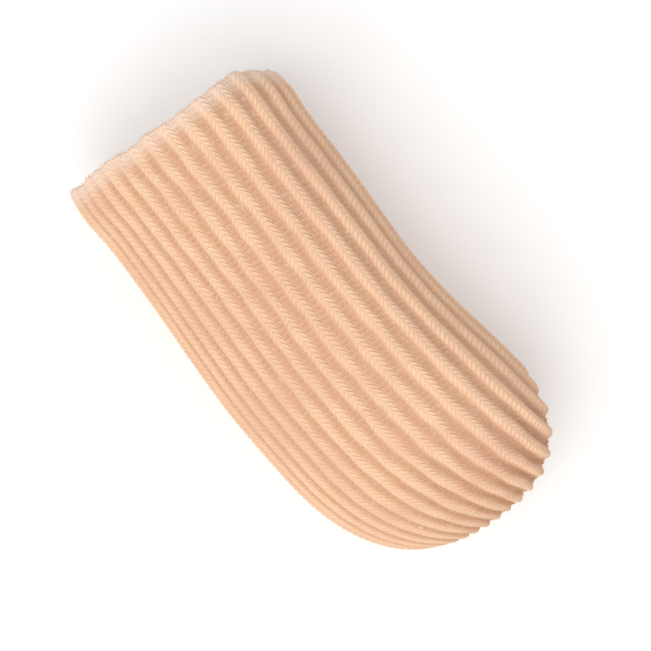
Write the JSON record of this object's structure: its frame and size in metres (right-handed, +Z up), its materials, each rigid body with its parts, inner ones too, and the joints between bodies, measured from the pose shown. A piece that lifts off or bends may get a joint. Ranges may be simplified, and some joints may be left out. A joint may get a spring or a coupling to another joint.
{
  "type": "gel toe cap",
  "caption": "Ribbed knit cap for a big toe, closed round the tip by a curved seam, with a soft moulded gel lining bonded inside and an open mouth.",
  "frame": {"origin": "middle of the outer box in X and Y, at the lowest face, on which the cap lies", "axes": "+Y out of the mouth along the cap's length, -Y towards the closed tip, +Z up through the back of the toe, +X to the side that the tip bends to"},
  "size_m": [0.0312, 0.062, 0.0261],
  "materials": {
    "ribbed_knit": "ribbed stretch knit, matte",
    "gel": "soft clear gel, satin"
  },
  "bodies": {
    "root": {"knit_cap": "ribbed_knit", "gel_lining": "gel"}
  },
  "joints": []
}
